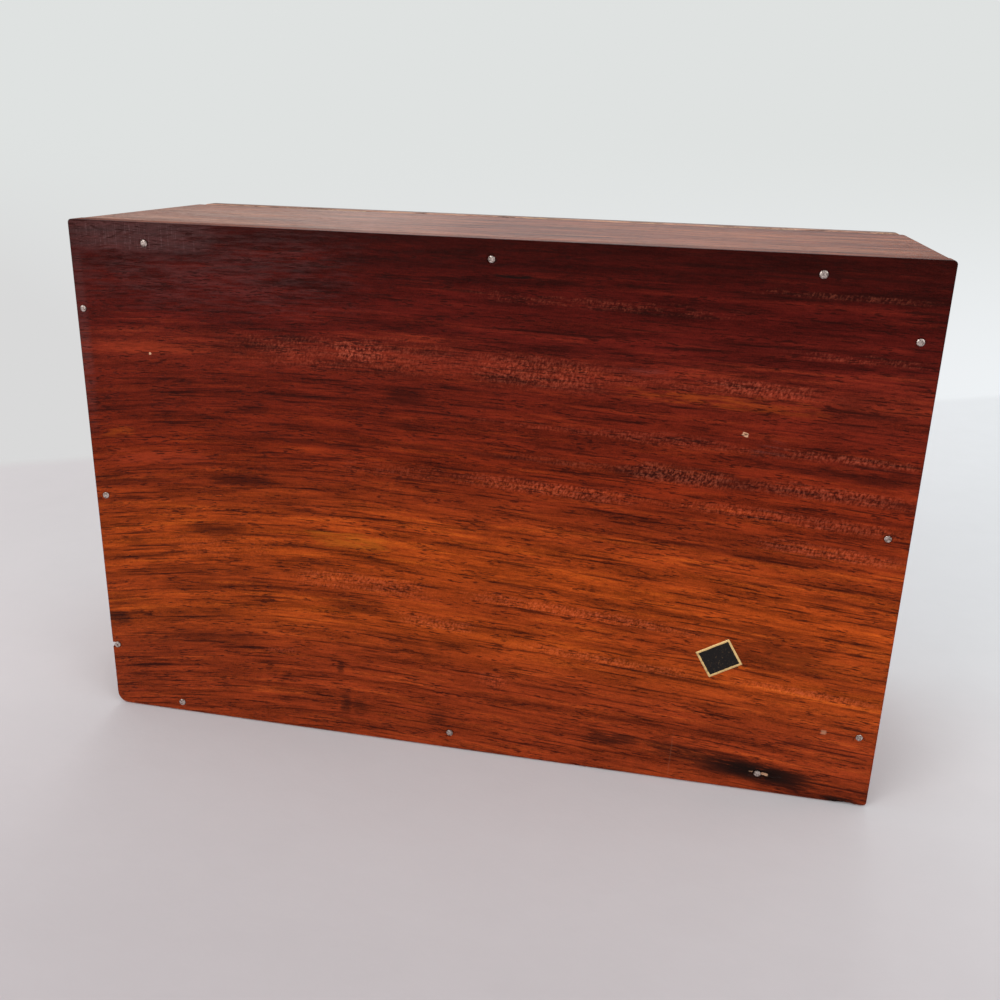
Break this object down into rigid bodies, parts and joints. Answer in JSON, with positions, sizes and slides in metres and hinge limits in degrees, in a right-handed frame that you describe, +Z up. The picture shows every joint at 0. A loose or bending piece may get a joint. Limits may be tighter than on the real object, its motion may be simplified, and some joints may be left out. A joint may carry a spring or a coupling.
{
  "type": "carved trinket box",
  "caption": "Low rectangular hardwood trinket box with a carved lid on two small brass hinges let in flush at the back, and a nailed bottom panel.",
  "frame": {"origin": "middle of the underside of the bottom panel, at the height of the surface that the box stands on", "axes": "+X along the length of the box, +Y towards its hinged back, +Z up towards the lid"},
  "size_m": [0.23, 0.15, 0.086],
  "materials": {
    "panel_wood": "satin varnished rosewood, orange brown with dark streaks",
    "wall_wood": "satin varnished rosewood, red brown",
    "lid_wood": "carved rosewood, satin varnished, with a dark sunk ground",
    "nail_steel": "dull worn nail heads",
    "hinge_brass": "aged brass",
    "label_foil": "black foil label with a dull gold edge, no lettering"
  },
  "bodies": {
    "box_body": {"bottom_panel": "panel_wood", "front_wall": "wall_wood", "back_wall": "wall_wood", "left_wall": "wall_wood", "right_wall": "wall_wood", "foil_label": "label_foil", "bottom_nail_1": "nail_steel", "bottom_nail_2": "nail_steel", "bottom_nail_3": "nail_steel", "bottom_nail_4": "nail_steel", "bottom_nail_5": "nail_steel", "bottom_nail_6": "nail_steel", "bottom_nail_7": "nail_steel", "bottom_nail_8": "nail_steel", "bottom_nail_9": "nail_steel", "bottom_nail_10": "nail_steel", "bottom_nail_11": "nail_steel", "bottom_nail_12": "nail_steel", "left_hinge_body_leaf": "hinge_brass", "left_hinge_body_nail_1": "hinge_brass", "left_hinge_body_nail_2": "hinge_brass", "left_hinge_pin": "hinge_brass", "right_hinge_body_leaf": "hinge_brass", "right_hinge_body_nail_1": "hinge_brass", "right_hinge_body_nail_2": "hinge_brass", "right_hinge_pin": "hinge_brass"},
    "lid": {"lid_board": "lid_wood", "left_hinge_lid_leaf": "hinge_brass", "left_hinge_lid_nail_1": "hinge_brass", "left_hinge_lid_nail_2": "hinge_brass", "right_hinge_lid_leaf": "hinge_brass", "right_hinge_lid_nail_1": "hinge_brass", "right_hinge_lid_nail_2": "hinge_brass"}
  },
  "joints": [
    {"name": "lid_hinge", "type": "hinge", "parent": "box_body", "child": "lid", "pos_m": [0, 0.0734, 0.076], "axis": [-1, 0, 0], "range_deg": [0, 102]}
  ]
}
